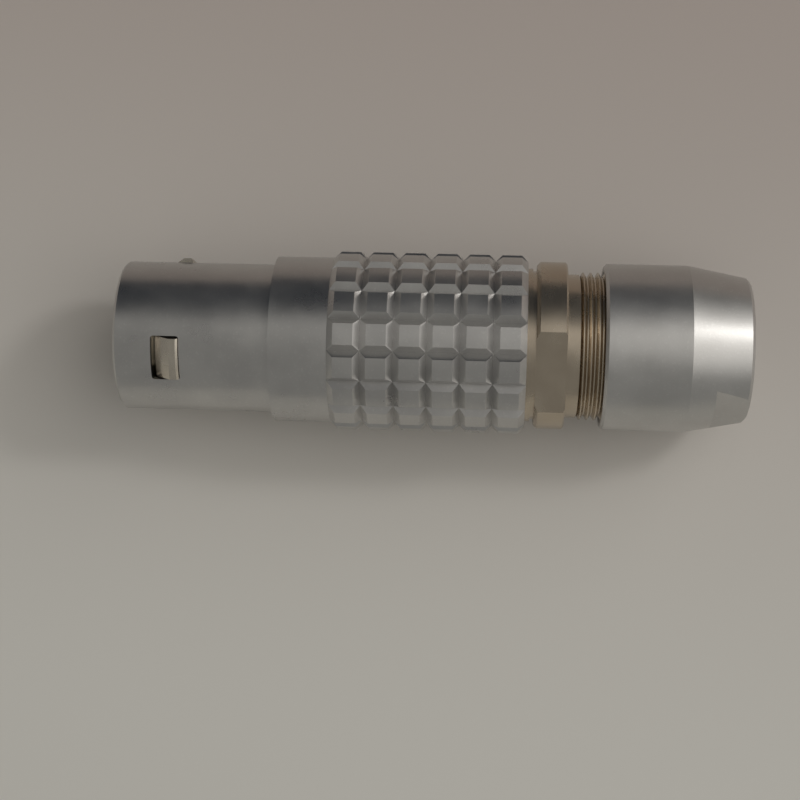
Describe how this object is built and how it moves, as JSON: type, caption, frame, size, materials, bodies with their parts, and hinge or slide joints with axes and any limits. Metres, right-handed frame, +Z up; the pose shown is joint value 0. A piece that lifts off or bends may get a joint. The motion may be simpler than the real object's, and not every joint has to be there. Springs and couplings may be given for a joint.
{
  "type": "push pull circular connector",
  "caption": "Straight push-pull round cable plug with a sprung latch, a square-padded grip sleeve, male contacts, a cable collet and a screwed back nut.",
  "frame": {"origin": "on the surface that the plug lies on, under the middle of its length and its axis", "axes": "+X along the plug's axis from the mating rim to the cable end, +Z up, plug lying on its grip"},
  "size_m": [0.0626, 0.018, 0.018],
  "materials": {
    "shell": "satin",
    "nut": "satin",
    "sleeve": "satin nickel plate",
    "tongue": "polished nickel plate",
    "carrier": "satin nickel plate",
    "insulator": "turned",
    "contact": "gold plate",
    "collet": "satin"
  },
  "bodies": {
    "core": {"latch_sleeve": "sleeve", "insert_half_key": "carrier", "insert_half_plain": "carrier", "insulator": "insulator", "contact_1": "contact", "contact_2": "contact", "contact_3": "contact", "contact_4": "contact", "contact_5": "contact", "contact_6": "contact", "contact_7": "contact", "contact_8": "contact", "contact_9": "contact", "contact_10": "contact"},
    "shell": {"outer_shell": "shell"},
    "tongue_1": {"latch_tongue_1": "tongue"},
    "tongue_2": {"latch_tongue_2": "tongue"},
    "tongue_3": {"latch_tongue_3": "tongue"},
    "collet": {"collet": "collet"},
    "nut": {"collet_nut": "nut"}
  },
  "joints": [
    {"name": "shell_slide", "type": "slide", "parent": "core", "child": "shell", "axis": [1, 0, 0], "range_m": [0, 0.00085], "stiffness_N_per_m": 2000},
    {"name": "tongue_1_bend", "type": "hinge", "parent": "core", "child": "tongue_1", "pos_m": [-0.01476, -0.00239, 0.01505], "axis": [0, -0.9304, -0.3665], "range_deg": [0, 2.6], "stiffness_Nm_per_rad": 0.01},
    {"name": "tongue_2_bend", "type": "hinge", "parent": "core", "child": "tongue_2", "pos_m": [-0.01476, -0.00406, 0.00387], "axis": [0, 0.7826, -0.6225], "range_deg": [0, 2.6], "stiffness_Nm_per_rad": 0.01},
    {"name": "tongue_3_bend", "type": "hinge", "parent": "core", "child": "tongue_3", "pos_m": [-0.01476, 0.00645, 0.00801], "axis": [0, 0.1478, 0.989], "range_deg": [0, 2.6], "stiffness_Nm_per_rad": 0.01},
    {"name": "collet_travel", "type": "slide", "parent": "core", "child": "collet", "axis": [1, 0, 0], "range_m": [-0.0035, 0.0042]},
    {"name": "nut_turn", "type": "hinge", "parent": "collet", "child": "nut", "pos_m": [0.0211, 0, 0.00898], "axis": [1, 0, 0], "range_deg": [-1681, 2017]}
  ],
  "couplings": [
    {"joint": "tongue_1_bend", "follows": "shell_slide", "rad_per_m": 52.22},
    {"joint": "tongue_2_bend", "follows": "shell_slide", "rad_per_m": 52.22},
    {"joint": "tongue_3_bend", "follows": "shell_slide", "rad_per_m": 52.22},
    {"joint": "nut_turn", "follows": "collet_travel", "rad_per_m": 8377.6}
  ]
}
